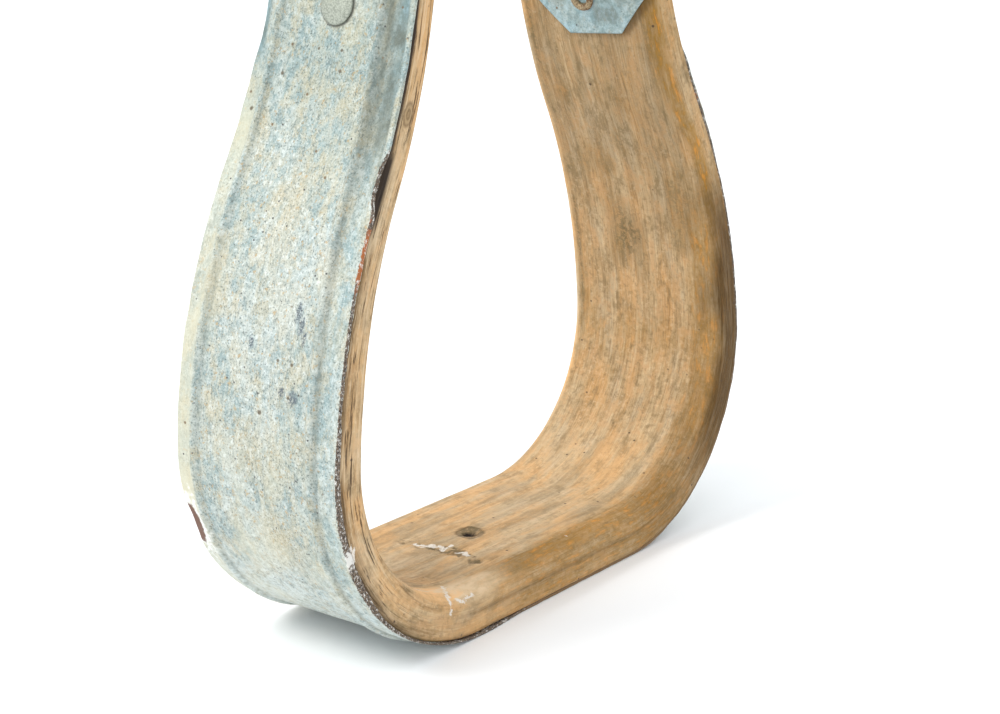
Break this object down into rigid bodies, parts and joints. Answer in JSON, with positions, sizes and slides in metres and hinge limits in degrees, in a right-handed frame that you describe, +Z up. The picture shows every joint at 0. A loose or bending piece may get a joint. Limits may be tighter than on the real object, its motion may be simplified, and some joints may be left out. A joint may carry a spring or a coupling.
{
  "type": "bentwood western riding stirrup",
  "caption": "Steam-bent hardwood stirrup bow bound outside with a galvanized sheet band, riveted at the necks, with a wooden roller on a cross bolt for the stirrup leather.",
  "frame": {"origin": "on the ground under the middle of the sole", "axes": "+Z up the legs, +X from leg to leg towards the nut, +Y towards the strap's back edge"},
  "size_m": [0.15, 0.0444, 0.191],
  "materials": {
    "bow_wood": "weathered bare hardwood, hand-polished",
    "band_zinc": "aged galvanized sheet, mottled and dull",
    "left_rivet_steel": "aged tinned steel",
    "right_rivet_steel": "aged tinned steel, browned",
    "nail_steel": "rusted steel",
    "bolt_steel": "dull steel with light rust",
    "washer_steel": "dull steel with light rust",
    "nut_steel": "dull steel with light rust",
    "roller_wood": "turned hardwood, darkened by leather"
  },
  "bodies": {
    "bow": {"wood_bow": "bow_wood", "galvanized_band": "band_zinc", "left_rivet": "left_rivet_steel", "right_rivet": "right_rivet_steel", "sole_nail": "nail_steel", "cross_bolt": "bolt_steel", "nut_washer": "washer_steel", "bolt_nut": "nut_steel"},
    "roller": {"roller": "roller_wood"}
  },
  "joints": [
    {"name": "roller_spin", "type": "hinge", "parent": "bow", "child": "roller", "pos_m": [0, 0, 0.171], "axis": [1, 0, 0], "continuous": true}
  ]
}
